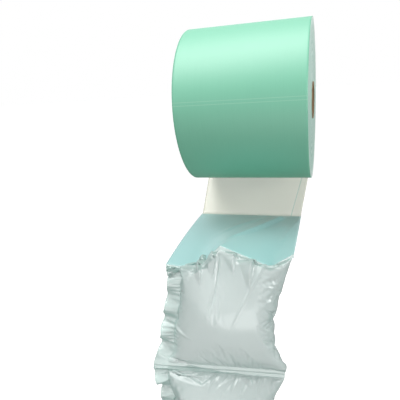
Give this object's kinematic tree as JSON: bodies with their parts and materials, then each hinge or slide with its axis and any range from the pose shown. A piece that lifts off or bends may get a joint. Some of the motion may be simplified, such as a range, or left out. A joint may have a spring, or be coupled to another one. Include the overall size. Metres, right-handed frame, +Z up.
{
  "type": "air pillow film roll",
  "caption": "Roll of flattened tube film on a paper core, with its end unrolled round a bend and blown up into a hanging chain of sealed air pillows.",
  "frame": {"origin": "middle of the core's bore, halfway along the core", "axes": "+X along the core towards the film's folded edge, -Y is the front, where the film runs to, +Z up"},
  "size_m": [0.2369, 0.4221, 0.6607],
  "materials": {
    "core_board": "raw spiral-wound paper board",
    "film": "smooth pale green film, wound tight, satin",
    "pillow_film": "thin translucent pale green film, glossy along its folds"
  },
  "bodies": {
    "root": {"core": "core_board", "wound_film": "film", "film_web": "film", "air_pillow_1": "pillow_film", "air_pillow_2": "pillow_film"}
  },
  "joints": []
}
